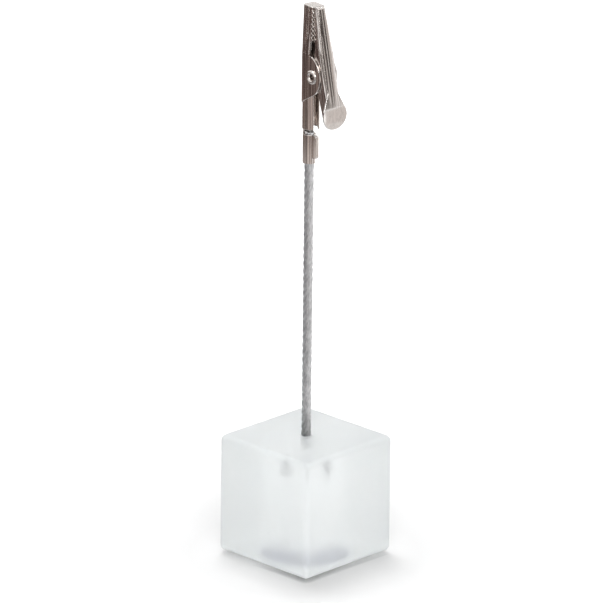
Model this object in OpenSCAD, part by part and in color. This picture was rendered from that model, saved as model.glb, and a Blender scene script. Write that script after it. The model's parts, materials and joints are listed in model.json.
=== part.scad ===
// Desk memo holder: a frosted cube, a wire rope stem and a sprung clip with toothed jaws.
// Millimetres, +Z up. The origin is the middle of the resting face, on the axis of the rope.
// The clip sits a little turned on the rope. Its own frame has the lever along +X and the pivot along Y.

/* [Base block] */
// Edge length of the cube
block_w = 30; // [24:1:40]
// Radius on every edge of the cube
block_round = 1.5; // [0.5:0.1:3]
// Depth of the socket for the rope in the top of the cube
socket_depth = 8.5; // [6:0.5:15]
// Width of the bevel round the mouth of the socket
socket_bevel = 0.3; // [0.1:0.1:0.8]

/* [Foot pad] */
// Diameter of the pad under the cube
pad_d = 16; // [12:1:20]
// Thickness of the pad, which holds the cube off the desk
pad_t = 0.8; // [0.5:0.1:2]
// Radius on the lower rim of the pad
pad_round = 0.3; // [0.1:0.05:0.5]

/* [Rope stem] */
// Diameter of the rope
rope_d = 2.4; // [2:0.1:3]
// Height of one full turn of a strand
lay_length = 11.4; // [9:0.1:16]
// Length of bare rope between the cube and the clip
stem_free = 70; // [40:1:120]
// Length of rope that shows above the crimp
rope_end = 0.6; // [0.2:0.1:1.2]
// Gap round the rope in its socket and in the crimp
rope_fit = 0.03; // [0.02:0.01:0.1]
// Gap between neighbouring strands
strand_gap = 0.03; // [0.02:0.01:0.06]

/* [Clip sheet] */
// Thickness of the sheet that both jaws are bent from
sheet_t = 0.4; // [0.3:0.05:0.5]
// Height of the fixed jaw, from the foot of the crimp to the tip
clip_len = 40; // [36:0.5:48]
// Height of the pivot above the foot of the crimp
pivot_up = 23; // [21:0.5:26]
// Distance of the pivot in front of the rope axis
pivot_out = 4; // [3.5:0.1:5]
// Turn of the clip on the rope from square to the cube, in degrees
clip_turn = -8; // [-45:1:45]
// Lean of the line along which the jaws bite, in degrees
bite_lean = 3; // [0:0.5:5]

/* [Teeth] */
// Number of teeth along each wall of a jaw
tooth_count = 7; // [4:1:8]
// Spacing of the teeth
tooth_pitch = 1.1; // [0.8:0.05:1.2]
// Depth of a tooth
tooth_depth = 0.7; // [0.4:0.05:0.8]
// Gap between the meshing teeth of the shut jaws, across the bite
tooth_gap = 0.16; // [0.12:0.01:0.3]
// Plain land between the last tooth and the tip
tip_land = 0.7; // [0.5:0.1:1.5]
// Setback of each wall from the bite line in the throat behind the teeth
throat_gap = 0.6; // [0.55:0.05:0.8]

/* [Fixed jaw] */
// Width outside the ears
ear_w = 5.3; // [4.8:0.1:6.5]
// Radius of the ears
ear_r = 5.4; // [4.5:0.1:6]
// Distance of the pivot in front of the middle of the ears
ear_offset = 2.35; // [2:0.05:3]
// Slope of the lower edge of the ears, in degrees
flank_slope = 30; // [20:1:40]
// Width of the nose at its tip
fixed_tip_w = 3.4; // [2.6:0.1:4]
// Outer diameter of the rolled tail
tail_d = 4.3; // [3.8:0.1:5]
// Width of the slot left open along the front of the tail
tail_slot = 1.6; // [1:0.1:2.6]
// Height of the tail's lower end above the foot of the crimp
tail_from = 8.9; // [8:0.1:10]
// Distance of the tail's upper end below the pivot
tail_drop = 5; // [4.5:0.1:6]
// Length of the crimp
crimp_len = 7.3; // [5:0.1:8.2]
// Height of the lower end of the pinched lips above the foot of the crimp
lip_from = 1.5; // [0:0.1:3]
// Reach of the pinched lips in front of the crimp barrel
lip_reach = 1.4; // [0.8:0.1:2]
// Radius on the corners of the lips
lip_round = 0.6; // [0.2:0.1:1]
// Seam between the pinched lips
lip_seam = 0.1; // [0.05:0.01:0.2]
// Distance of the neck's edges behind the rope axis
neck_back = 0.5; // [0.2:0.1:0.9]

/* [Moving jaw] */
// Gap between the moving jaw and the ears on each side
side_gap = 0.1; // [0.06:0.01:0.2]
// Depth of the nose at its tip, which sets the lean of the back
moving_tip_depth = 1.04; // [0.9:0.02:1.4]
// Distance from the pivot to the outside of the back
lever_back = 4; // [3.6:0.1:5]
// Outer radius of the bends between the back and the walls
bend_r = 1; // [0.7:0.05:1.2]
// Radius of the wall round the pivot
hub_r = 2.6; // [2.2:0.1:3]
// Width of the nose at its tip
moving_tip_w = 2.8; // [2.6:0.1:3.6]
// Depth of the lever's walls at the pivot
lever_depth = 3.4; // [2.8:0.1:3.8]
// Depth of the lever's walls at their lower end
lever_low_depth = 2.4; // [2:0.1:3]
// Distance below the pivot where the lever's walls end
lever_wall_end = 11.2; // [9:0.1:12]
// Radius on the lower corner of the lever's walls
lever_round = 1.2; // [0.5:0.1:1.5]
// Distance below the pivot where the lever begins to curl in
curl_from = 7.5; // [6:0.1:9]
// Outer radius of the curl
curl_r = 14; // [10:0.5:20]
// Distance from the pivot to the end of the paddle
lever_end = 13.1; // [12.5:0.1:15]
// Distance below the pivot where the paddle begins to widen
paddle_from = 3.5; // [2.5:0.1:4.4]
// Width of the paddle
paddle_w = 7; // [4.4:0.1:7.6]

/* [Pivot rivet] */
// Diameter of the rivet's shank
shank_d = 2.2; // [1.8:0.1:2.4]
// Diameter of the hole along the rivet
rivet_bore = 1.5; // [0.8:0.1:1.6]
// Diameter of the rolled heads
head_d = 3.5; // [2.8:0.1:4]
// Gap round the shank in the moving jaw
turn_fit = 0.05; // [0.02:0.01:0.1]
// Gap round the shank in the ears
ear_fit = 0.02; // [0.01:0.01:0.05]

/* [Torsion spring] */
// Diameter of the spring wire
wire_d = 0.5; // [0.4:0.05:0.55]
// Distance between the two legs along the pivot, which sets the spacing of the curls
leg_spacing = 2.36; // [2.3:0.02:2.6]
// Gap between the curls and the shank
curl_fit = 0.2; // [0.1:0.05:0.4]
// Gap between a leg and the sheet that it rests on
leg_fit = 0.05; // [0.03:0.01:0.1]
// Full turns of wire, apart from the part turn between the legs
full_turns = 2; // [1:1:2]
// Distance below the pivot of the end of the leg on the fixed jaw
fixed_leg_drop = 6.5; // [5:0.1:6.8]
// Distance down the lever of the end of the leg on the moving jaw
moving_leg_drop = 7; // [5:0.1:7.4]

/* [Hidden] */
strand_count = 6;

$fn = 64;
// Segments of a full round on the corners of the cube
corner_steps = 32;
// Overlap that lets a cut run clear past a face
past = 1;

// Heights
block_top = pad_t + block_w;
clip_z = block_top + stem_free;

// Rope: the strands lie round a core. A strand is round across its own line,
// so a level cut through it is wider by the cosine of the lay angle.
// The middles of the strands lie on a circle about two thirds as wide as the rope.
strand_sides = 8;
rings_per_lay = 12;
lay_angle = atan(PI * rope_d * 2 / 3 / lay_length);
half_place = 180 / strand_count;
strand_spread = sqrt(pow(cos(half_place) / cos(lay_angle), 2) + pow(sin(half_place), 2));
strand_r = (rope_d / 2 - strand_gap) / (2 * strand_spread + 1);
strand_ring = rope_d / 2 - strand_r;
core_r = strand_ring * cos(180 / rings_per_lay) - strand_r - strand_gap;
rope_from = block_top - socket_depth;
rope_len = clip_z + crimp_len + rope_end - rope_from;
rope_hole_d = rope_d + 2 * rope_fit;

// Fixed jaw, in the frame of the clip: x in front of the rope axis, z above the foot of the crimp
barrel_r = rope_hole_d / 2 + sheet_t;
back_x = -barrel_r;
ear_middle = [pivot_out - ear_offset, pivot_up];
flank_turn = flank_slope - 90;
flank_point = ear_middle + ear_r * [cos(flank_turn), sin(flank_turn)];
nose_from = pivot_up + ear_r;
nose_len = clip_len - nose_from;
// The nose starts a little inside the ears, so their sheets meet at a clean step
nose_inset = 0.03;
nose_start_r = ear_w / 2 - nose_inset;
nose_taper = atan((nose_start_r - fixed_tip_w / 2) / nose_len);
tip_round = 2 * sheet_t;
// The tail lies a little inside the back of the ears, so their sheets cross instead of touching
tail_inset = 0.05;
tail_x = back_x + tail_inset + tail_d / 2;
tail_to = pivot_up - tail_drop;
neck_lap = 0.4;

// The bite line runs up from the pivot
bite_len = (clip_len - pivot_up) / cos(bite_lean);
teeth_from = bite_len - tip_land - tooth_count * tooth_pitch;
throat_from = hub_r - throat_gap;

// Moving jaw, in its own frame: origin on the pivot, x out to its back, z up along its back
moving_w = ear_w - 2 * sheet_t - 2 * side_gap;
moving_lean = asin((lever_back - moving_tip_depth) / bite_len);
lever_slope = bite_lean + moving_lean;
moving_top = bite_len * cos(moving_lean);
nose_lap = 0.5;
moving_nose_len = moving_top + nose_lap - ear_r;
moving_taper = atan((moving_w - moving_tip_w) / 2 / moving_nose_len);
// Each half of the nose's back laps the other by twice this
half_lap = 0.1;
curl_sweep = 60;
// The straight sides of the paddle run a little inside its round end, so they cross it cleanly
paddle_inset = 0.02;

// Spring: the curls lie round the shank, with one leg at each end of the curls
wire_r = wire_d / 2;
coil_r = shank_d / 2 + curl_fit + wire_r;
wire_sides = 6;
rings_per_curl = 24;
moving_leg = [
    lever_back - sheet_t - leg_fit - wire_r,
    -moving_leg_drop
];
moving_leg_end = [
    moving_leg.x * cos(lever_slope) - moving_leg.y * sin(lever_slope),
    moving_leg.x * sin(lever_slope) + moving_leg.y * cos(lever_slope)
];
// The fixed leg goes down into the tail in line with the first curl
// and lies against the inside of its back
leg_y = leg_spacing / 2;
leg_ring = tail_d / 2 - sheet_t - leg_fit - wire_r;
fixed_leg_end = [
    tail_x - sqrt(pow(leg_ring, 2) - pow(leg_y, 2)) - pivot_out,
    -fixed_leg_drop
];
fixed_leg_turn = touch_angle(fixed_leg_end, coil_r, -1) + 360;
moving_leg_turn = touch_angle(moving_leg_end, coil_r, 1);
coil_turn = 360 * full_turns + fixed_leg_turn - moving_leg_turn;
coil_rings = ceil(coil_turn / 360 * rings_per_curl);

// Angle at which a straight line from an outside point touches a circle round the origin
function touch_angle(p, r, side) = atan2(p.y, p.x) + side * acos(r / norm(p));

// Point of the coil after a share of its turns, from the fixed leg to the moving one
function coil_point(share) =
    let (turn = fixed_leg_turn - share * coil_turn)
    [coil_r * cos(turn), leg_y * (2 * share - 1), coil_r * sin(turn)];

spring_path = concat(
    [[fixed_leg_end.x, -leg_y, fixed_leg_end.y]],
    [for (i = [0:coil_rings]) coil_point(i / coil_rings)],
    [[moving_leg_end.x, leg_y, moving_leg_end.y]]
);

// Least distance between the wire's surface and itself, half a curl or more further along
function least_gap(path, skip) =
    let (last = len(path) - 1)
    min([
        for (i = [0:last - skip])
            for (j = [i + skip:last])
                norm(path[i] - path[j])
    ]) - wire_d;

echo(spring_least_gap_mm = least_gap(spring_path, rings_per_curl / 2));

// Point of the bite, from the pivot, in a frame where the bite leans by an angle to the left of up.
// along runs from the pivot to the tips, and aside is towards the moving jaw.
function bite_point(lean, along, aside) = [
    -along * sin(lean) + aside * cos(lean),
    along * cos(lean) + aside * sin(lean)
];

// Toothed edge of a jaw: side is -1 on the fixed jaw and 1 on the moving one
function bite_edge(lean, side) = concat(
    [
        bite_point(lean, throat_from, side * throat_gap),
        bite_point(lean, teeth_from, side * throat_gap)
    ],
    [
        for (i = [0:2 * tooth_count])
            let (wave = i % 2 == 0 ? -tooth_depth / 2 : tooth_depth / 2)
            bite_point(lean, teeth_from + i * tooth_pitch / 2, wave + side * tooth_gap / 2)
    ],
    [bite_point(lean, bite_len + past, side * tooth_gap / 2)]
);

function unit(v) = v / norm(v);

// Direction of a path at one of its points, from the points beside it
function path_direction(path, i) =
    unit(path[min(i + 1, len(path) - 1)] - path[max(i - 1, 0)]);

// Ring of points round a wire at p that runs along the unit vector t
function wire_ring(p, t) =
    let (u = unit([0, 1, 0] - t.y * t))
    let (v = cross(t, u))
    [
        for (i = [0:wire_sides - 1])
            let (a = 360 * i / wire_sides)
            p + wire_r * (cos(a) * u + sin(a) * v)
    ];

// Level ring of points round a strand, at a share of the rope's length
function strand_level(share) =
    let (height = share * rope_len)
    let (turn = 360 * height / lay_length)
    [
        for (i = [0:strand_sides - 1])
            let (a = 360 * i / strand_sides)
            let (out = strand_ring + strand_r * cos(a))
            let (across = strand_r * sin(a) / cos(lay_angle))
            [
                out * cos(turn) - across * sin(turn),
                out * sin(turn) + across * cos(turn),
                height
            ]
    ];

// Closed tube through rings that each have the same number of points
module tube(rings) {
    sides = len(rings[0]);
    last = len(rings) - 1;
    end = last * sides;
    skin = [
        for (i = [0:last - 1])
            for (k = [0:sides - 1])
                let (a = i * sides + k)
                let (b = i * sides + (k + 1) % sides)
                each [
                    [a, b + sides, b],
                    [a, a + sides, b + sides]
                ]
    ];
    caps = [
        for (k = [1:sides - 2])
            each [
                [0, k, k + 1],
                [end, end + k + 1, end + k]
            ]
    ];
    polyhedron([for (r = rings) each r], concat(skin, caps));
}

// Outline of a channel seen along its length: back at x = 0, open side at x = depth
module trough(w, r, depth) {
    translate([r, -w / 2])
        square([depth - r, w]);
    if (w > 2 * r) {
        translate([0, r - w / 2])
            square([depth, w - 2 * r]);
        for (side = [-1, 1])
            translate([r, side * (w / 2 - r)])
                circle(r);
    } else {
        translate([r, 0])
            circle(r);
    }
}

// Sheet bent into a channel
module channel(w, r, depth) {
    difference() {
        trough(w, r, depth);
        translate([sheet_t, 0])
            trough(w - 2 * sheet_t, r - sheet_t, depth);
    }
}

// Solid between the walls, from an outline in the X-Z plane
module side_prism(w) {
    rotate([90, 0, 0])
        linear_extrude(height = w, center = true)
            children();
}

// What is cut away to round a corner at the origin, above and to the left of the stock
module corner_cut(r) {
    difference() {
        translate([-past, -r])
            square([r + past, r + past]);
        translate([r, -r])
            circle(r);
    }
}

module rounded_cube(w, r) {
    inset = w / 2 - r;
    // The facets of a sphere lie inside it, so its radius grows until the flats have the full width
    ball_r = r / cos(180 / corner_steps);
    hull()
        for (x = [-inset, inset])
            for (y = [-inset, inset])
                for (z = [-inset, inset])
                    translate([x, y, z])
                        sphere(ball_r, $fn = corner_steps);
}

module base_block() {
    color([0.91, 0.93, 0.93, 0.75])
        difference() {
            translate([0, 0, pad_t + block_w / 2])
                rounded_cube(block_w, block_round);
            translate([0, 0, rope_from])
                cylinder(d = rope_hole_d, h = socket_depth + past);
            translate([0, 0, block_top - socket_bevel])
                cylinder(d1 = rope_hole_d, d2 = rope_hole_d + 4 * socket_bevel, h = 2 * socket_bevel);
        }
}

module foot_pad() {
    // A thin pad limits its own rounding
    rim = min(pad_round, pad_t / 2);
    color([0.55, 0.58, 0.62])
        rotate_extrude() {
            square([pad_d / 2 - rim, pad_t]);
            translate([0, rim])
                square([pad_d / 2, pad_t - rim]);
            translate([pad_d / 2 - rim, rim])
                circle(rim);
        }
}

module rope_core() {
    color([0.62, 0.61, 0.59])
        translate([0, 0, rope_from])
            cylinder(r = core_r, h = rope_len);
}

module rope_strand(place) {
    levels = ceil(rings_per_lay * rope_len / lay_length);
    color([0.7, 0.69, 0.67])
        translate([0, 0, rope_from])
            rotate(place * 360 / strand_count)
                tube([for (i = [0:levels]) strand_level(i / levels)]);
}

// Outline of the ears and the nose, seen from the side
module fixed_side() {
    behind = back_x - past;
    flank_drop = (flank_point.x - behind) * tan(flank_slope);
    difference() {
        union() {
            translate(ear_middle)
                circle(ear_r);
            polygon([
                [behind, flank_point.y - flank_drop],
                flank_point,
                ear_middle,
                [behind, pivot_up]
            ]);
            intersection() {
                translate([pivot_out, pivot_up])
                    polygon(concat(
                        [[behind - pivot_out, 0], [-ear_offset, 0]],
                        bite_edge(bite_lean, -1),
                        [[behind - pivot_out, bite_len + past]]
                    ));
                translate([behind, pivot_up - past])
                    square([2 * ear_r + ear_w, clip_len - pivot_up + past]);
            }
        }
        translate([back_x, clip_len])
            corner_cut(tip_round);
    }
}

// Solid nose before it is hollowed: a cone for the rounded back, and flat sides to the front
module nose_core(r1, r2, h) {
    cylinder(r1 = r1, r2 = r2, h = h);
    rotate([90, 0, 90])
        linear_extrude(height = 2 * ear_r)
            polygon([[-r1, 0], [r1, 0], [r2, h], [-r2, h]]);
}

// Tapered nose with a closed tip. It starts a little low, because it is tilted to keep its back upright.
module nose_shell() {
    slim = tan(nose_taper);
    start_r = nose_start_r + past * slim;
    end_r = fixed_tip_w / 2 - past * slim;
    inside_len = nose_len / cos(nose_taper) + past - sheet_t;
    full_len = nose_len + 2 * past;
    translate([back_x + nose_inset + nose_start_r, 0, nose_from])
        rotate([0, -nose_taper, 0])
            translate([0, 0, -past])
                difference() {
                    nose_core(start_r, end_r, full_len);
                    translate([0, 0, -past])
                        nose_core(
                            start_r + past * slim - sheet_t,
                            start_r - inside_len * slim - sheet_t,
                            inside_len + past
                        );
                }
}

module tail() {
    r = tail_d / 2;
    translate([tail_x, 0, tail_from])
        linear_extrude(height = tail_to - tail_from)
            difference() {
                circle(r);
                circle(r - sheet_t);
                translate([0, -tail_slot / 2])
                    square([tail_d, tail_slot]);
            }
}

// The strip at the back that joins the crimp to the tail
module neck() {
    translate([0, 0, crimp_len])
        linear_extrude(height = tail_from + neck_lap - crimp_len)
            difference() {
                circle(barrel_r);
                circle(rope_hole_d / 2);
                translate([-neck_back, -rope_d])
                    square(2 * rope_d);
            }
}

// Outline of the crimp's lips seen from the side, with round front corners
module lip_side() {
    front = barrel_r + lip_reach;
    height = crimp_len - lip_from;
    translate([0, lip_from]) {
        square([front - lip_round, height]);
        translate([0, lip_round])
            square([front, height - 2 * lip_round]);
        for (z = [lip_round, height - lip_round])
            translate([front - lip_round, z])
                circle(lip_round);
    }
}

// Barrel closed round the rope, with its two edges pinched into lips at the front
module crimp() {
    difference() {
        union() {
            cylinder(r = barrel_r, h = crimp_len);
            side_prism(2 * sheet_t + lip_seam)
                lip_side();
        }
        translate([0, 0, -past])
            cylinder(d = rope_hole_d, h = crimp_len + 2 * past);
        translate([0, -lip_seam / 2, -past])
            cube([barrel_r + lip_reach + past, lip_seam, crimp_len + 2 * past]);
    }
}

// Sets a piece of the clip on the rope
module on_rope() {
    translate([0, 0, clip_z])
        rotate(clip_turn)
            children();
}

// Sets a piece of the clip on the rope with its origin on the pivot
module on_pivot() {
    on_rope()
        translate([pivot_out, 0, pivot_up])
            children();
}

module fixed_jaw() {
    color([0.72, 0.71, 0.69])
        on_rope()
            difference() {
                union() {
                    intersection() {
                        translate([back_x, 0, tail_from])
                            linear_extrude(height = nose_from - tail_from)
                                channel(ear_w, ear_w / 2, 2 * ear_r);
                        side_prism(2 * ear_w)
                            fixed_side();
                    }
                    intersection() {
                        nose_shell();
                        side_prism(2 * ear_w)
                            difference() {
                                fixed_side();
                                translate([-2 * ear_r, 0])
                                    square([4 * ear_r, nose_from]);
                            }
                    }
                    tail();
                    neck();
                    crimp();
                }
                translate([pivot_out, 0, pivot_up])
                    rotate([90, 0, 0])
                        cylinder(d = shank_d + 2 * ear_fit, h = 2 * ear_w, center = true);
            }
}

// Outline of the moving jaw's walls, seen from the side
module moving_side() {
    outside = lever_back + past;
    hub_edge = lever_back - lever_depth;
    low_edge = lever_back - lever_low_depth;
    low = -lever_wall_end;
    round_middle = [low_edge + lever_round, low + lever_round];
    difference() {
        union() {
            circle(hub_r);
            polygon(concat(
                [[outside, low], [round_middle.x, low], round_middle],
                [[low_edge, round_middle.y], [hub_edge, 0], [0, 0]],
                bite_edge(-moving_lean, 1),
                [[outside, bite_len + past]]
            ));
            translate(round_middle)
                circle(lever_round);
        }
        translate([-outside, moving_top])
            square([2 * outside + lever_back, 2 * past + bite_len - moving_top]);
        translate([lever_back, moving_top])
            mirror([1, 0])
                corner_cut(tip_round);
    }
}

// Outline of the moving jaw's channel seen along its back, drawn in by an inset
module moving_outline(inset) {
    translate([lever_back - inset, 0])
        mirror([1, 0])
            trough(moving_w - 2 * inset, bend_r - inset, lever_back + hub_r + past);
}

// One wall of the tapered nose with its share of the back and of the closed tip
module moving_nose_half() {
    translate([0, moving_w / 2, ear_r - nose_lap])
        rotate([moving_taper, 0, 0])
            translate([0, -moving_w / 2, 0])
                difference() {
                    linear_extrude(height = moving_nose_len + past)
                        intersection() {
                            moving_outline(nose_inset);
                            translate([-2 * lever_back, -half_lap])
                                square([4 * lever_back, moving_w]);
                        }
                    translate([0, 0, -past])
                        linear_extrude(height = moving_nose_len + past - sheet_t)
                            moving_outline(nose_inset + sheet_t);
                }
}

// Sweeps a section, drawn from the back inwards, round the curl at the lower end of the lever
module curled() {
    translate([lever_back - curl_r, 0, -curl_from])
        rotate([-90, 0, 0])
            rotate_extrude(angle = curl_sweep)
                translate([curl_r, 0])
                    mirror([1, 0])
                        children();
}

// Outline of the paddle seen on its back: it widens from the flat of the back to a round end
module paddle_outline() {
    middle = lever_end - paddle_w / 2;
    start = [middle - paddle_from, moving_w / 2 - bend_r];
    side_r = paddle_w / 2 - paddle_inset;
    side_turn = touch_angle(start, side_r, 1);
    side_end = side_r * [cos(side_turn), sin(side_turn)];
    translate([-middle, 0]) {
        circle(d = paddle_w);
        polygon([
            [0, 0],
            [side_end.x, -side_end.y],
            [start.x, -start.y],
            start,
            side_end
        ]);
    }
}

// The paddle is flat down to the curl and then follows it
module paddle() {
    intersection() {
        union() {
            translate([lever_back - sheet_t, -paddle_w, -curl_from])
                cube([sheet_t, 2 * paddle_w, curl_from]);
            curled()
                translate([0, -paddle_w])
                    square([sheet_t, 2 * paddle_w]);
        }
        rotate([0, -90, 0])
            linear_extrude(height = 4 * lever_back, center = true)
                paddle_outline();
    }
}

module moving_jaw() {
    color([0.76, 0.75, 0.73])
        on_pivot()
            rotate([0, -lever_slope, 0])
                difference() {
                    union() {
                        intersection() {
                            union() {
                                translate([0, 0, -curl_from])
                                    linear_extrude(height = curl_from + ear_r)
                                        difference() {
                                            moving_outline(0);
                                            moving_outline(sheet_t);
                                        }
                                moving_nose_half();
                                mirror([0, 1, 0])
                                    moving_nose_half();
                                curled()
                                    channel(moving_w, bend_r, lever_depth);
                            }
                            side_prism(2 * ear_w)
                                moving_side();
                        }
                        paddle();
                    }
                    rotate([90, 0, 0])
                        cylinder(d = shank_d + 2 * turn_fit, h = 2 * ear_w, center = true);
                }
}

// Tube through both jaws, with each end rolled over into a ring
module pivot_rivet() {
    roll_r = (head_d - rivet_bore) / 4;
    color([0.8, 0.79, 0.77])
        on_pivot()
            rotate([90, 0, 0])
                rotate_extrude() {
                    translate([rivet_bore / 2, -ear_w / 2])
                        square([(shank_d - rivet_bore) / 2, ear_w]);
                    for (side = [0, 1])
                        mirror([0, side])
                            translate([rivet_bore / 2 + roll_r, ear_w / 2])
                                intersection() {
                                    circle(roll_r);
                                    translate([-roll_r, 0])
                                        square(2 * roll_r);
                                }
                }
}

module torsion_spring() {
    color([0.6, 0.6, 0.6])
        on_pivot()
            tube([
                for (i = [0:len(spring_path) - 1])
                    wire_ring(spring_path[i], path_direction(spring_path, i))
            ]);
}

base_block();
foot_pad();
rope_core();
for (i = [1:strand_count])
    rope_strand(i);
fixed_jaw();
moving_jaw();
pivot_rivet();
torsion_spring();
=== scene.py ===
import json
import math

import bmesh
import bpy
from mathutils import Euler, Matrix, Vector


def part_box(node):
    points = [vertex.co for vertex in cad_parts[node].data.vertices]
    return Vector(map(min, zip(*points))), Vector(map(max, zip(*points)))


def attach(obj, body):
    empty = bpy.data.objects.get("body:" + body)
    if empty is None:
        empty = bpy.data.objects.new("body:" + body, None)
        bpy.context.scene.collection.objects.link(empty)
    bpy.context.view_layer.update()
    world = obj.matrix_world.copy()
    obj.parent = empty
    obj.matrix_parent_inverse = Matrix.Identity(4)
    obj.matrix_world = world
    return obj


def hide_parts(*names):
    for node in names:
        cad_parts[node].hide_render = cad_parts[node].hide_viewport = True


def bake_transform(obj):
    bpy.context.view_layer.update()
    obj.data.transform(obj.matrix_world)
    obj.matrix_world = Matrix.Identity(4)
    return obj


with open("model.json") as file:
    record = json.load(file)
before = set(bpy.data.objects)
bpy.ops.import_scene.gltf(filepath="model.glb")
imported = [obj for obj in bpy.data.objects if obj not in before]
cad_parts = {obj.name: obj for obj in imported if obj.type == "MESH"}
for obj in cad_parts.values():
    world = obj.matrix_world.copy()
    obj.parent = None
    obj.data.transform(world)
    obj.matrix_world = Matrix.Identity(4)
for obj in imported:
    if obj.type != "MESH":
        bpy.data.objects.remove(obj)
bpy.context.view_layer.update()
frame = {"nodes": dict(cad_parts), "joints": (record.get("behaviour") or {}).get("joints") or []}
hinge = frame["joints"][0]
pivot = Vector(hinge["pos_m"])
pivot_axis = Vector(hinge["axis"]).normalized()

MM = 0.001
UP = Vector((0, 0, 1))

# Block
EDGE_ROUND = 1.5 * MM
EDGE_STEPS = 8
SOCKET_GAP = 0.03 * MM
SOCKET_BEVEL = 0.3 * MM
ROUND_STEPS = 64
FLAT_WEIGHT = 100

# Rope: strands of seven wires each, laid right-handed, with the wires laid the other way in each strand
STRANDS = 6
OUTER_WIRES = 6
WIRES_ACROSS = 3
STRAND_LAY = 11.4 * MM
WIRE_LAY = 6.2 * MM
WIRE_SIDES = 6
RINGS_PER_WIRE_LAY = 14

# Spring: where the two legs end, out from the pivot towards the lever and up from it
FIXED_LEG_END = (-4.27 * MM, -6.5 * MM)
MOVING_LEG_END = (4.79 * MM, -6.08 * MM)
LEG_SIDE = 1.18 * MM
COIL_R = 1.55 * MM
SPRING_WIRE_R = 0.25 * MM
FULL_TURNS = 2
RINGS_PER_TURN = 48
SPRING_SIDES = 12

# Spans of a noise's value over which a pattern turns from one tone into the other
SOFT = (0.3, 0.7)
EVEN = (0.35, 0.65)
CRISP = (0.38, 0.6)

# Share that each finer layer of a noise has beside the one before it
NOISE_ROUGHNESS = 0.55

# Nickel plate: turn of the clip on the rope, and lean of the lever's back
CLIP_TURN = math.radians(-8)
LEVER_LEAN = math.radians(-13)

# Nickel plate: how far its crown falls 1 mm off the middle
CROWN_FALL = 0.02 * MM

# Nickel plate: sizes of its patterns through, across and along the sheet, and their depths
WAVE_SIZE = (1.1 * MM, 1.1 * MM, 30 * MM)
WAVE_DEPTH = 0.3 * MM
STREAK_SIZE = (0.3 * MM, 0.3 * MM, 24 * MM)
STREAK_DEPTH = 0.015 * MM
PLATE_GRAIN_SIZE = (0.05 * MM, 0.05 * MM, 3 * MM)
PLATE_GRAIN_DEPTH = 0.0005 * MM

# Nickel plate: tones and roughness, from its dark streaks to its bright ones, the streak tones partly
# painted reflections, then the worn tone, partly a painted highlight
PLATE_DARK_WITH_PAINTED_REFLECTION = (0.52, 0.475, 0.45)
PLATE_BRIGHT_WITH_PAINTED_REFLECTION = (0.82, 0.765, 0.725)
PLATE_WORN_AND_HIGHLIGHT = (0.88, 0.85, 0.83)
PLATE_ROUGHNESS = (0.15, 0.09)

# Worn edges with a painted highlight: how far wear and highlight reach in, and the cosine of the bend
# where they are full and where they end
EDGE_WEAR_AND_HIGHLIGHT = 0.16 * MM
WORN_AND_HIGHLIGHT_BEND = (0.74, 0.88)
WEAR_AND_HIGHLIGHT_SAMPLES = 8

# Step between ears and nose, too low to wear, and kept free of the painted edge highlight
STEP_FROM_PIVOT = 5.4 * MM
STEP_CLEAR = 0.2 * MM

# Thumb rubbing: height and fade of the paddle's rubbed end, drawn finish left on it, and its worn tone
PADDLE_RUB = 5 * MM
RUB_FADE = 4 * MM
DRAWN_LEFT = 0.02
RUB_BRIGHT = 0.7

# Rope wire
WIRE_STAIN_SIZE = (0.5 * MM, 0.5 * MM, 2 * MM)
WIRE_SCRATCH_SIZE = (0.05 * MM, 0.05 * MM, 0.8 * MM)
WIRE_SCRATCH_DEPTH = 0.002 * MM
WIRE_DARK = (0.57, 0.572, 0.58)
WIRE_BRIGHT = (0.80, 0.802, 0.81)
WIRE_ROUGHNESS = (0.36, 0.28)
SOIL = (0.10, 0.10, 0.105)
SOILED_LENGTH = 7 * MM
SOILED_SHARE = 0.56

# Spring wire
SPRING_STAIN_SIZE = (0.7 * MM, 0.7 * MM, 0.7 * MM)
SPRING_DARK = (0.30, 0.30, 0.31)
SPRING_BRIGHT = (0.44, 0.44, 0.45)
SPRING_ROUGHNESS = (0.42, 0.3)

# Frosted acrylic
FROST_SIZE = (0.12 * MM, 0.12 * MM, 0.12 * MM)
FROST_DEPTH = 0.01 * MM
CLOUD_SIZE = (9 * MM, 9 * MM, 9 * MM)
ACRYLIC_DARK = (0.915, 0.94, 0.942)
ACRYLIC_BRIGHT = (0.945, 0.965, 0.965)
ACRYLIC_ROUGHNESS = (0.36, 0.42)
ACRYLIC_IOR = 1.49
ACRYLIC_CLEARNESS = 0.58

# Rubber of the pad
RUBBER_GRAIN_SIZE = (0.25 * MM, 0.25 * MM, 0.25 * MM)
RUBBER_GRAIN_DEPTH = 0.02 * MM
RUBBER_DARK = (0.22, 0.24, 0.32)
RUBBER_BRIGHT = (0.31, 0.33, 0.42)
RUBBER_ROUGHNESS = (0.7, 0.9)

# Camera, as the photograph was taken, with its angles in degrees
AZIMUTH = 44.0
ELEVATION = 19.67
ROLL = 0.65
DISTANCE = 2.0
FOCAL_PX = 8267.0
FRAME_W_PX = 613.0
SENSOR_MM = 36.0
AIM_UP = 65.2 * MM
AIM_RIGHT = -0.27 * MM
CAMERA_REACH = 20.0

# Lamps: place, aim and size in metres, and power in watts
LAMPS = {
    "key": ((-0.23, 0.13, 0.95), (0.0, 0.0, 0.04), 0.45, 4.9),
    "fill": ((0.9, -0.75, 0.55), (0.0, 0.0, 0.06), 1.0, 9.6),
}

# Strength of the white surroundings as a source of light
AMBIENT = 0.5

# Floor
FLOOR_SIZE = 6.0
FLOOR_DROP = 0.02 * MM
FLOOR_ALBEDO = 0.8

# Contact shadow: its tone and reach, and the open shares at which it is full and at which it ends
CONTACT_ALBEDO = 0.45
CONTACT_REACH = 1.4 * MM
CONTACT_SAMPLES = 16
CONTACT_DARK = 0.3
CONTACT_CLEAR = 0.95

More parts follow.
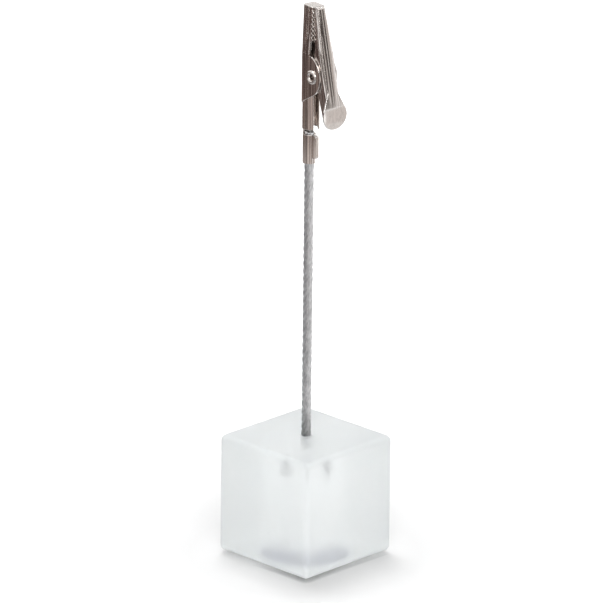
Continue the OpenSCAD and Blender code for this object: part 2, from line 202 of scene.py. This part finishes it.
# Side of the contact shadow: direction away from the key lamp, and the stretch over which it grows
AWAY_FROM_KEY = (0.87, -0.49, 0.0)
CONTACT_FROM = 4 * MM
CONTACT_TO = 15 * MM

# Lift of the floor to white, near the object and far from it
LIFT_NEAR = 0.02
LIFT_FAR = 0.5
LIFT_FROM = 28 * MM
LIFT_TO = 100 * MM

# Standing flags: azimuth in degrees, width, lower edge and upper edge in metres, and tone
FLAG_AWAY = 0.25
STANDING_FLAGS = (
    (272.0, 0.10, 0.03, 0.13, (0.25, 0.19, 0.175)),
    (294.0, 0.085, 0.03, 0.13, (0.09, 0.065, 0.06)),
    (316.0, 0.095, 0.03, 0.13, (0.22, 0.17, 0.155)),
    (18.0, 0.07, 0.07, 0.2, (0.20, 0.18, 0.17)),
    (47.0, 0.15, 0.07, 0.2, (0.30, 0.27, 0.255)),
    (76.0, 0.07, 0.07, 0.2, (0.24, 0.22, 0.21)),
    (102.0, 0.15, 0.1385, 0.2, (0.10, 0.088, 0.082)),
    (102.0, 0.15, 0.1355, 0.1385, (0.17, 0.155, 0.145)),
    (102.0, 0.15, 0.1325, 0.1355, (0.27, 0.25, 0.24)),
    (102.0, 0.15, 0.1295, 0.1325, (0.38, 0.355, 0.34)),
    (102.0, 0.15, 0.12, 0.1295, (0.50, 0.47, 0.45)),
    (140.0, 0.16, 0.12, 0.2, (0.60, 0.565, 0.545)),
    (345.0, 0.11, 0.03, 0.13, (0.10, 0.075, 0.07)),
    (245.0, 0.10, 0.03, 0.13, (0.10, 0.075, 0.07)),
)

# Lying flags: first and last azimuth in degrees, inner and outer radius in metres, and tone
FLAG_RISE = 1 * MM
FLAG_STEPS = 12
LYING_FLAGS = (
    (-140.0, -16.0, 0.03, 0.15, (0.62, 0.62, 0.63)),
    (-16.0, 60.0, 0.03, 0.15, (0.44, 0.44, 0.45)),
    (60.0, 105.0, 0.03, 0.15, (1.0, 1.0, 1.0)),
    (-140.0, -16.0, 0.15, 0.27, (0.38, 0.38, 0.39)),
    (-16.0, 60.0, 0.15, 0.27, (0.23, 0.23, 0.24)),
    (60.0, 105.0, 0.15, 0.27, (1.0, 1.0, 1.0)),
    (105.0, 140.0, 0.03, 0.27, (0.74, 0.71, 0.69)),
    (105.0, 140.0, 0.27, 6.0, (0.65, 0.605, 0.58)),
    (140.0, 220.0, 0.03, 0.27, (1.0, 1.0, 1.0)),
    (-140.0, 5.0, 0.27, 0.305, (0.66, 0.61, 0.595)),
    (5.0, 58.0, 0.27, 0.305, (0.82, 0.76, 0.735)),
    (58.0, 90.0, 0.27, 0.305, (0.42, 0.37, 0.35)),
    (-140.0, 5.0, 0.305, 0.6, (0.17, 0.135, 0.12)),
    (5.0, 58.0, 0.305, 0.6, (0.46, 0.39, 0.365)),
    (58.0, 90.0, 0.305, 0.6, (0.22, 0.18, 0.165)),
)


def add_mesh(name, bm):
    """Makes an object of a finished bmesh."""
    mesh = bpy.data.meshes.new(name)
    bm.normal_update()
    bm.to_mesh(mesh)
    bm.free()
    obj = bpy.data.objects.new(name, mesh)
    bpy.context.scene.collection.objects.link(obj)
    return obj


def set_material(obj, *materials):
    """Gives an object these materials in place of its own."""
    obj.data.materials.clear()
    for material in materials:
        obj.data.materials.append(material)


class Nodes:
    """Short calls for building a node tree."""

    def __init__(self, tree):
        self.tree = tree

    def add(self, kind, inputs=None, **settings):
        """Adds a node with its settings and inputs."""
        node = self.tree.nodes.new(kind)
        for key, value in settings.items():
            setattr(node, key, value)
        for key, value in (inputs or {}).items():
            self.put(node.inputs[key], value)
        return node

    def put(self, socket, value):
        """Links a socket to another one, or sets it to a constant."""
        if isinstance(value, bpy.types.NodeSocket):
            self.tree.links.new(value, socket)
        else:
            socket.default_value = value

    def calc(self, operation, *values):
        """One step of arithmetic."""
        return self.add("ShaderNodeMath", dict(enumerate(values)), operation=operation).outputs[0]

    def dot(self, first, second):
        node = self.add("ShaderNodeVectorMath", {0: first, 1: second}, operation="DOT_PRODUCT")
        return node.outputs["Value"]

    def place(self):
        """Place of a point in the object's own frame."""
        return self.add("ShaderNodeTexCoord").outputs["Object"]

    def turned(self, place, turn, size=(1.0, 1.0, 1.0)):
        """Place in a frame that is turned, with steps of a size along each axis."""
        return self.add(
            "ShaderNodeMapping",
            {"Vector": place, "Rotation": turn, "Scale": size},
            vector_type="TEXTURE",
        ).outputs["Vector"]

    def axes(self, place):
        """The X, Y and Z of a place."""
        return self.add("ShaderNodeSeparateXYZ", {"Vector": place}).outputs

    def noise(self, size, turn=(0.0, 0.0, 0.0), detail=3.0):
        """Noise whose patches have a size along each axis, in a frame that may be turned."""
        return self.add(
            "ShaderNodeTexNoise",
            {
                "Vector": self.turned(self.place(), turn, size),
                "Scale": 1.0,
                "Detail": detail,
                "Roughness": NOISE_ROUGHNESS,
            },
        ).outputs["Fac"]

    def span(self, value, low, high, start=0.0, end=1.0):
        """Maps a value from one span of numbers to another."""
        return self.add(
            "ShaderNodeMapRange",
            {"Value": value, "From Min": start, "From Max": end, "To Min": low, "To Max": high},
        ).outputs["Result"]

    def ramp(self, value, span, first, last):
        """Colour that turns from the first into the last over a span of the value."""
        node = self.add("ShaderNodeValToRGB", {"Fac": value})
        for point, place, colour in zip(node.color_ramp.elements, span, (first, last)):
            point.position = place
            point.color = (*colour, 1.0)
        return node.outputs["Color"]

    def cover(self, share, colour, over):
        """Colour with a share of another over it."""
        inputs = {"Factor": share, "A": colour, "B": (*over, 1.0)}
        return self.add("ShaderNodeMix", inputs, data_type="RGBA").outputs["Result"]

    def bump(self, height, distance, under=None, strength=1.0, invert=False):
        """Normal of a pattern with a depth, on top of another normal if there is one."""
        inputs = {"Height": height, "Distance": distance, "Strength": strength}
        if under is not None:
            inputs["Normal"] = under
        return self.add("ShaderNodeBump", inputs, invert=invert).outputs["Normal"]

    def seen_directly(self):
        """1 for rays from the camera, and for those that a mirror or glass sends on."""
        path = self.add("ShaderNodeLightPath").outputs
        mirrored = self.calc("MAXIMUM", path["Is Camera Ray"], path["Is Glossy Ray"])
        return self.calc("MAXIMUM", mirrored, path["Is Transmission Ray"])


class Surface(Nodes):
    """A material with one principled shader."""

    def __init__(self, name):
        self.material = bpy.data.materials.new(name)
        self.material.use_nodes = True
        super().__init__(self.material.node_tree)
        self.shader = self.tree.nodes["Principled BSDF"]
        self.output = self.tree.nodes["Material Output"]

    def set(self, **sockets):
        """Sets the shader's inputs by name, with an underscore for each space."""
        for name, value in sockets.items():
            self.put(self.shader.inputs[name.replace("_", " ")], value)
        return self.material


def nickel(name, turn, rubbed_below=0.0):
    """Plated sheet with a slight crown, waves, drawn streaks with painted reflections, worn edges with
    a painted highlight and a rubbed lower end.
    """
    s = Surface(name)
    place = s.place()
    sheet = s.axes(s.turned(place, turn))
    step_up = pivot.dot(Euler(turn).to_matrix().col[2]) + STEP_FROM_PIVOT
    from_step = s.calc("ABSOLUTE", s.calc("SUBTRACT", sheet["Z"], step_up))
    wear_and_highlight_reach = s.span(from_step, 0.0, EDGE_WEAR_AND_HIGHLIGHT, STEP_CLEAR, 2 * STEP_CLEAR)
    rounded = s.add("ShaderNodeBevel", {"Radius": wear_and_highlight_reach}, samples=WEAR_AND_HIGHLIGHT_SAMPLES).outputs["Normal"]
    flat = s.add("ShaderNodeNewGeometry").outputs["Normal"]
    # Worn edges: wear, together with a painted highlight where the rims bend
    worn_and_highlight = s.span(s.dot(rounded, flat), 1.0, 0.0, *WORN_AND_HIGHLIGHT_BEND)
    as_drawn = s.span(s.axes(place)["Z"], DRAWN_LEFT, 1.0, rubbed_below, rubbed_below + RUB_FADE)
    rubbed = s.span(as_drawn, RUB_BRIGHT, 0.0)
    crown = s.calc("POWER", s.calc("DIVIDE", sheet["Y"], MM), 2.0)
    streaks = s.noise(STREAK_SIZE, turn, detail=2.0)
    waves = s.noise(WAVE_SIZE, turn, detail=1.0)
    grain = s.noise(PLATE_GRAIN_SIZE, turn, detail=2.0)
    normal = s.bump(crown, CROWN_FALL, under=rounded, invert=True)
    normal = s.bump(waves, WAVE_DEPTH, under=normal, strength=as_drawn)
    normal = s.bump(streaks, STREAK_DEPTH, under=normal, strength=as_drawn)
    normal = s.bump(grain, PLATE_GRAIN_DEPTH, under=normal)
    # Drawn streak tones, which are partly painted reflection bands
    plate_and_painted_reflections = s.ramp(streaks, CRISP, PLATE_DARK_WITH_PAINTED_REFLECTION, PLATE_BRIGHT_WITH_PAINTED_REFLECTION)
    return s.set(
        # Bright cover for the worn edges, partly a painted highlight, and for the rubbed lower end
        Base_Color=s.cover(s.calc("MAXIMUM", worn_and_highlight, rubbed), plate_and_painted_reflections, PLATE_WORN_AND_HIGHLIGHT),
        Metallic=1.0,
        Roughness=s.span(streaks, *PLATE_ROUGHNESS, *SOFT),
        Normal=normal,
    )


def drawn_wire(soiled_from):
    """Bright drawn wire with darker grease in places, and soiled just above the block."""
    s = Surface("drawn_wire")
    stain = s.noise(WIRE_STAIN_SIZE)
    scratch = s.noise(WIRE_SCRATCH_SIZE, detail=2.0)
    height = s.axes(s.place())["Z"]
    fading = s.span(height, SOILED_SHARE, 0.0, soiled_from, soiled_from + SOILED_LENGTH)
    soiled = s.calc("MULTIPLY", fading, s.calc("GREATER_THAN", height, soiled_from))
    return s.set(
        Base_Color=s.cover(soiled, s.ramp(stain, CRISP, WIRE_DARK, WIRE_BRIGHT), SOIL),
        Metallic=1.0,
        Roughness=s.span(stain, *WIRE_ROUGHNESS, *SOFT),
        Normal=s.bump(scratch, WIRE_SCRATCH_DEPTH),
    )


def spring_steel():
    """Dull spring wire with oil stains."""
    s = Surface("spring_steel")
    stain = s.noise(SPRING_STAIN_SIZE)
    return s.set(
        Base_Color=s.ramp(stain, EVEN, SPRING_DARK, SPRING_BRIGHT),
        Metallic=1.0,
        Roughness=s.span(stain, *SPRING_ROUGHNESS, *SOFT),
    )


def frosted_acrylic():
    """Clear acrylic with an etched skin."""
    s = Surface("frosted_acrylic")
    frost = s.noise(FROST_SIZE, detail=2.0)
    cloud = s.noise(CLOUD_SIZE, detail=2.0)
    return s.set(
        Base_Color=s.ramp(cloud, EVEN, ACRYLIC_DARK, ACRYLIC_BRIGHT),
        Roughness=s.span(cloud, *ACRYLIC_ROUGHNESS, *SOFT),
        IOR=ACRYLIC_IOR,
        Transmission_Weight=ACRYLIC_CLEARNESS,
        Normal=s.bump(frost, FROST_DEPTH),
    )


def pad_rubber(name="pad_rubber"):
    """Matt rubber with a fine grain."""
    s = Surface(name)
    grain = s.noise(RUBBER_GRAIN_SIZE)
    return s.set(
        Base_Color=s.ramp(grain, SOFT, RUBBER_DARK, RUBBER_BRIGHT),
        Roughness=s.span(grain, *RUBBER_ROUGHNESS, *SOFT),
        Normal=s.bump(grain, RUBBER_GRAIN_DEPTH),
    )


def circle_of(bm, radius, z):
    """Level ring of points round the Z axis."""
    turns = [2 * math.pi * i / ROUND_STEPS for i in range(ROUND_STEPS)]
    return [bm.verts.new((radius * math.cos(a), radius * math.sin(a), z)) for a in turns]


def loop_edges(bm, ring):
    """Edges round a closed ring of points."""
    return [bm.edges.get(pair) or bm.edges.new(pair) for pair in zip(ring, ring[1:] + ring[:1])]


def band(bm, lower, upper):
    """Faces between two rings of the same count."""
    corners = zip(lower, lower[1:] + lower[:1], upper[1:] + upper[:1], upper)
    return [bm.faces.new(four) for four in corners]


def open_flat(bm, direction, ring):
    """Takes the flat face that looks in a direction, and fills it again round a ring."""
    flat = max(bm.faces, key=lambda face: face.calc_area() * face.normal.dot(direction))
    rim = list(flat.edges)
    bmesh.ops.delete(bm, geom=[flat], context="FACES_ONLY")
    bmesh.ops.triangle_fill(bm, use_beauty=True, edges=rim + loop_edges(bm, ring), normal=direction)


def keep_flats(obj):
    """Keeps large flats flat beside smooth rounds."""
    flats = obj.modifiers.new("flats", "WEIGHTED_NORMAL")
    flats.weight = FLAT_WEIGHT
    flats.keep_sharp = True


def make_block():
    """Block with rounded edges, a bevelled socket for the rope and a round spot for the bonded pad."""
    low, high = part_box("base_block")
    rope_low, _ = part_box("rope_core")
    _, strand_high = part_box("rope_strand_1")
    _, pad_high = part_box("foot_pad")
    socket_r = strand_high.x + SOCKET_GAP
    bm = bmesh.new()
    bmesh.ops.create_cube(bm, size=1.0)
    bmesh.ops.scale(bm, vec=high - low, verts=bm.verts)
    bmesh.ops.translate(bm, vec=(low + high) / 2, verts=bm.verts)
    bmesh.ops.bevel(
        bm, geom=bm.edges[:], offset=EDGE_ROUND, segments=EDGE_STEPS, profile=0.5, affect="EDGES"
    )
    bm.normal_update()
    mouth = circle_of(bm, socket_r + SOCKET_BEVEL, high.z)
    neck = circle_of(bm, socket_r, high.z - SOCKET_BEVEL)
    foot = circle_of(bm, socket_r, rope_low.z)
    open_flat(bm, UP, mouth)
    band(bm, mouth, neck)
    band(bm, neck, foot)
    bm.faces.new(foot)
    spot = circle_of(bm, pad_high.x, low.z)
    open_flat(bm, -UP, spot)
    bonded = bm.faces.new(spot)
    bonded.material_index = 1
    bmesh.ops.recalc_face_normals(bm, faces=bm.faces)
    for face in bm.faces:
        face.smooth = True
    obj = add_mesh("frosted_block", bm)
    keep_flats(obj)
    set_material(obj, frosted_acrylic(), pad_rubber("bonded_pad"))
    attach(obj, "stand")
    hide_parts("base_block")


def tube(bm, points, radius, sides):
    """Round wire through points, with closed ends."""
    turns = [2 * math.pi * k / sides for k in range(sides)]
    rings = []
    across = None
    for i, point in enumerate(points):
        along = (points[min(i + 1, len(points) - 1)] - points[max(i - 1, 0)]).normalized()
        if across is None:
            across = along.orthogonal().normalized()
        across = (across - along * across.dot(along)).normalized()
        other = along.cross(across)
        spokes = [math.cos(a) * across + math.sin(a) * other for a in turns]
        rings.append([bm.verts.new(point + radius * spoke) for spoke in spokes])
    for lower, upper in zip(rings, rings[1:]):
        for face in band(bm, lower, upper):
            face.smooth = True
    bm.faces.new(rings[0][::-1])
    bm.faces.new(rings[-1])


def strand_wires(bm, ring_r, start, wire_r, low, high):
    """Wires of one strand, the last one in its middle. The core is a strand with no ring radius."""
    steps = round((high - low) / WIRE_LAY * RINGS_PER_WIRE_LAY)
    slope = math.atan2(2 * math.pi * ring_r, STRAND_LAY)
    for wire in range(OUTER_WIRES + 1):
        points = []
        for i in range(steps + 1):
            z = low + (high - low) * i / steps
            turn = start + 2 * math.pi * (z - low) / STRAND_LAY
            out = Vector((math.cos(turn), math.sin(turn), 0))
            side = UP.cross(out) * math.cos(slope) - UP * math.sin(slope)
            middle = ring_r * out + UP * z
            if wire < OUTER_WIRES:
                own = 2 * math.pi * (wire / OUTER_WIRES - (z - low) / WIRE_LAY)
                middle = middle + 2 * wire_r * (math.cos(own) * out + math.sin(own) * side)
            middle.z = min(max(middle.z, low), high)
            points.append(middle)
        tube(bm, points, wire_r, WIRE_SIDES)


def make_rope():
    """Each strand of the rope as its separate wires."""
    low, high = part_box("rope_core")
    steel = drawn_wire(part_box("base_block")[1].z)
    rope_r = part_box("rope_strand_1")[1].x
    core_r = high.x
    strand_r = (rope_r - core_r) / 2
    for place in range(STRANDS + 1):
        node = f"rope_strand_{place}" if place else "rope_core"
        ring_r = rope_r - strand_r if place else 0.0
        wire_r = (strand_r if place else core_r) / WIRES_ACROSS
        bm = bmesh.new()
        strand_wires(bm, ring_r, 2 * math.pi * place / STRANDS, wire_r, low.z, high.z)
        obj = add_mesh(node.replace("rope", "wire"), bm)
        set_material(obj, steel)
        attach(obj, "stand")
        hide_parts(node)


def touch_angle(point, side):
    """Angle at which a straight leg to an outside point touches the coil."""
    return math.atan2(point[1], point[0]) + side * math.acos(COIL_R / math.hypot(*point))


def make_spring():
    """Coil round the rivet with one leg on each jaw."""
    out = pivot_axis.cross(UP)
    first = touch_angle(FIXED_LEG_END, -1) + 2 * math.pi
    sweep = 2 * math.pi * FULL_TURNS + first - touch_angle(MOVING_LEG_END, 1)
    rings = math.ceil(sweep / (2 * math.pi) * RINGS_PER_TURN)
    path = [(FIXED_LEG_END[0], -LEG_SIDE, FIXED_LEG_END[1])]
    for i in range(rings + 1):
        share = i / rings
        turn = first - share * sweep
        path.append((COIL_R * math.cos(turn), LEG_SIDE * (2 * share - 1), COIL_R * math.sin(turn)))
    path.append((MOVING_LEG_END[0], LEG_SIDE, MOVING_LEG_END[1]))
    points = [pivot + x * out + y * pivot_axis + z * UP for x, y, z in path]
    bm = bmesh.new()
    tube(bm, points, SPRING_WIRE_R, SPRING_SIDES)
    obj = add_mesh("spring_coil", bm)
    set_material(obj, spring_steel())
    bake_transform(obj)
    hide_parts("torsion_spring")


def finish_carried_over():
    """Plating on the clip's sheet metal and rivet, and rubber on the pad."""
    upright = nickel("nickel_upright", (0.0, 0.0, CLIP_TURN))
    paddle_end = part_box("moving_jaw")[0].z
    leaning = nickel("nickel_leaning", (0.0, LEVER_LEAN, CLIP_TURN), paddle_end + PADDLE_RUB)
    set_material(frame["nodes"]["fixed_jaw"], upright)
    set_material(frame["nodes"]["moving_jaw"], leaning)
    set_material(frame["nodes"]["pivot_rivet"], upright)
    set_material(frame["nodes"]["foot_pad"], pad_rubber())


def contact_tone(s, place):
    """Floor colour, darker where the object nearly touches it on the side away from the key lamp."""
    shaded = s.dot(place, AWAY_FROM_KEY)
    least = s.span(shaded, CONTACT_CLEAR, CONTACT_DARK, CONTACT_FROM, CONTACT_TO)
    near = s.add("ShaderNodeAmbientOcclusion", {"Distance": CONTACT_REACH}, samples=CONTACT_SAMPLES)
    open_share = s.calc("MAXIMUM", near.outputs["AO"], least)
    touched = (CONTACT_ALBEDO, CONTACT_ALBEDO, CONTACT_ALBEDO)
    pale = (FLOOR_ALBEDO, FLOOR_ALBEDO, FLOOR_ALBEDO)
    return s.ramp(open_share, (CONTACT_DARK, CONTACT_CLEAR), touched, pale)


def make_floor():
    """Pale floor that shows white, keeps the shadow and can be seen through from below."""
    bm = bmesh.new()
    bmesh.ops.create_grid(bm, x_segments=1, y_segments=1, size=FLOOR_SIZE / 2)
    obj = add_mesh("floor", bm)
    obj.location.z = -FLOOR_DROP
    s = Surface("pale_floor")
    place = s.place()
    diffuse = s.add("ShaderNodeBsdfDiffuse", {"Color": contact_tone(s, place)})
    away = s.add("ShaderNodeVectorMath", {0: place}, operation="LENGTH").outputs["Value"]
    lift = s.span(away, LIFT_NEAR, LIFT_FAR, LIFT_FROM, LIFT_TO)
    glow = s.add("ShaderNodeEmission", {"Strength": s.calc("MULTIPLY", lift, s.seen_directly())})
    both = s.add("ShaderNodeAddShader", {0: diffuse.outputs[0], 1: glow.outputs[0]})
    below = s.add("ShaderNodeNewGeometry").outputs["Backfacing"]
    clear = s.add("ShaderNodeBsdfTransparent")
    sides = s.add("ShaderNodeMixShader", {"Fac": below, 1: both.outputs[0], 2: clear.outputs[0]})
    s.put(s.output.inputs["Surface"], sides.outputs[0])
    set_material(obj, s.material)


def bearing(azimuth):
    """Level direction at an azimuth in degrees, counted from the front towards the right side."""
    turn = math.radians(azimuth)
    return Vector((math.sin(turn), -math.cos(turn), 0.0))


def add_flag(name, corners, tone):
    """Card that only polished surfaces show."""
    bm = bmesh.new()
    bm.faces.new([bm.verts.new(corner) for corner in corners])
    obj = add_mesh(name, bm)
    s = Surface(name)
    glow = s.add("ShaderNodeEmission", {"Color": (*tone, 1.0), "Strength": 1.0})
    s.put(s.output.inputs["Surface"], glow.outputs[0])
    set_material(obj, s.material)
    obj.visible_camera = False
    obj.visible_diffuse = False
    obj.visible_transmission = False
    obj.visible_shadow = False


def make_flags():
    """Cards round the object, standing and lying, that break up what the metal mirrors."""
    for count, (azimuth, wide, low, high, tone) in enumerate(STANDING_FLAGS, 1):
        away = FLAG_AWAY * bearing(azimuth)
        side = wide / 2 * bearing(azimuth + 90)
        bottom = low * UP
        top = high * UP
        corners = [away - side + bottom, away + side + bottom, away + side + top, away - side + top]
        add_flag(f"standing_flag_{count}", corners, tone)
    rise = FLAG_RISE * UP
    for count, (first, last, inside, outside, tone) in enumerate(LYING_FLAGS, 1):
        turns = [first + (last - first) * i / FLAG_STEPS for i in range(FLAG_STEPS + 1)]
        outer = [outside * bearing(turn) + rise for turn in turns]
        inner = [inside * bearing(turn) + rise for turn in reversed(turns)]
        add_flag(f"lying_flag_{count}", outer + inner, tone)


def make_world():
    """White surroundings, dimmer as a source of light than they look."""
    world = bpy.data.worlds.new("studio")
    world.use_nodes = True
    bpy.context.scene.world = world
    n = Nodes(world.node_tree)
    background = n.tree.nodes["Background"]
    n.put(background.inputs["Color"], (1.0, 1.0, 1.0, 1.0))
    n.put(background.inputs["Strength"], n.span(n.seen_directly(), AMBIENT, 1.0))


def add_lamp(name, place, aim, size, power):
    """Round soft lamp turned to its aim."""
    lamp = bpy.data.lights.new(name, "AREA")
    lamp.shape = "DISK"
    lamp.size = size
    lamp.energy = power
    obj = bpy.data.objects.new(name, lamp)
    obj.location = place
    obj.rotation_euler = (Vector(place) - Vector(aim)).to_track_quat("Z", "Y").to_euler()
    bpy.context.scene.collection.objects.link(obj)


def make_camera():
    """Camera at the photograph's angle, turned a little about its own axis."""
    turn = math.radians(AZIMUTH)
    rise = math.radians(ELEVATION)
    roll = math.radians(ROLL)
    back = Vector((math.sin(turn) * math.cos(rise), -math.cos(turn) * math.cos(rise), math.sin(rise)))
    right = Vector((math.cos(turn), math.sin(turn), 0.0))
    up = back.cross(right)
    data = bpy.data.cameras.new("camera")
    data.sensor_width = SENSOR_MM
    data.lens = FOCAL_PX / FRAME_W_PX * SENSOR_MM
    data.clip_end = CAMERA_REACH
    obj = bpy.data.objects.new("camera", data)
    rolled_right = right * math.cos(roll) + up * math.sin(roll)
    rolled_up = up * math.cos(roll) - right * math.sin(roll)
    place = AIM_UP * UP + AIM_RIGHT * right + DISTANCE * back
    matrix = obj.matrix_world.copy()
    for row in range(3):
        matrix[row] = (rolled_right[row], rolled_up[row], back[row], place[row])
    obj.matrix_world = matrix
    bpy.context.scene.collection.objects.link(obj)
    bpy.context.scene.camera = obj


make_camera()
make_block()
make_rope()
make_spring()
finish_carried_over()
make_floor()
make_flags()
make_world()
for lamp_name, lamp_setting in LAMPS.items():
    add_lamp(lamp_name, *lamp_setting)
bpy.context.scene.view_settings.view_transform = "Standard"
